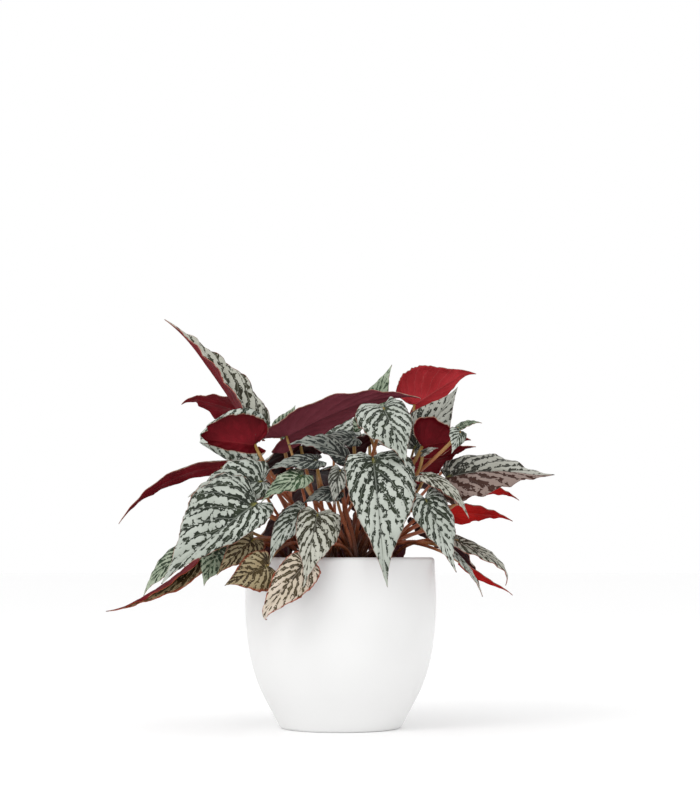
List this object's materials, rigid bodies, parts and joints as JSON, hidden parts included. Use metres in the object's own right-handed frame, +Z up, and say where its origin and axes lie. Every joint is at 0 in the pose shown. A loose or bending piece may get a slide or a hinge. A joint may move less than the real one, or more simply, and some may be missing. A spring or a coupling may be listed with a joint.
{
  "type": "potted begonia",
  "caption": "Rex begonia with pointed silver-marked, red-backed leaves on red stalks, rooted in soil in a plain rounded white glazed pot that stands on its flat base",
  "frame": {"origin": "middle of the pot's flat underside", "axes": "+Z up along the pot's axis, -Y towards the side that the plant shows best, +X to the right seen from there"},
  "size_m": [0.3184, 0.2148, 0.3024],
  "materials": {
    "pot_glaze": "satin white glaze, smooth, with a soft broad highlight",
    "soil": "matte dark peat soil, crumbly",
    "stalk": "red-brown juicy stalks, slightly hairy, olive near the leaf",
    "leaf": "silver upper face with jagged dark green bands along the veins, thin red edge, crimson underside"
  },
  "bodies": {
    "root": {"pot": "pot_glaze", "soil": "soil", "stalks": "stalk", "leaf_tall_left": "leaf", "leaf_red_behind_left": "leaf", "leaf_cup_left": "leaf", "leaf_low_left_back": "leaf", "leaf_narrow_red": "leaf", "leaf_big_left": "leaf", "leaf_second_left": "leaf", "leaf_low_left": "leaf", "leaf_under_left": "leaf", "leaf_olive_low": "leaf", "leaf_brown_low": "leaf", "leaf_pot_front": "leaf", "leaf_front_left": "leaf", "leaf_front_small": "leaf", "leaf_small_green": "leaf", "leaf_small_dark": "leaf", "leaf_dark_centre": "leaf", "leaf_front_centre": "leaf", "leaf_small_centre": "leaf", "leaf_dark_under": "leaf", "leaf_wine_top": "leaf", "leaf_behind_wine": "leaf", "leaf_dark_top": "leaf", "leaf_centre_right": "leaf", "leaf_top_spike": "leaf", "leaf_red_core": "leaf", "leaf_red_top_right": "leaf", "leaf_silver_right": "leaf", "leaf_cup_right": "leaf", "leaf_wrap_right": "leaf", "leaf_mid_right": "leaf", "leaf_red_right": "leaf", "leaf_big_right": "leaf", "leaf_arch_right": "leaf", "leaf_front_right": "leaf", "leaf_red_tip_right": "leaf", "leaf_red_flat_right": "leaf", "leaf_low_right": "leaf", "leaf_low_right_front": "leaf", "leaf_red_line_right": "leaf", "leaf_olive_tail": "leaf", "leaf_far_right_low": "leaf", "leaf_far_right": "leaf", "leaf_far_right_hang": "leaf", "leaf_far_right_high": "leaf", "leaf_far_mid": "leaf", "leaf_far_mid_hang": "leaf", "leaf_far_top": "leaf", "leaf_far_left": "leaf", "leaf_far_left_hang": "leaf", "leaf_far_left_high": "leaf", "leaf_far_side": "leaf", "leaf_far_side_low": "leaf"}
  },
  "joints": []
}
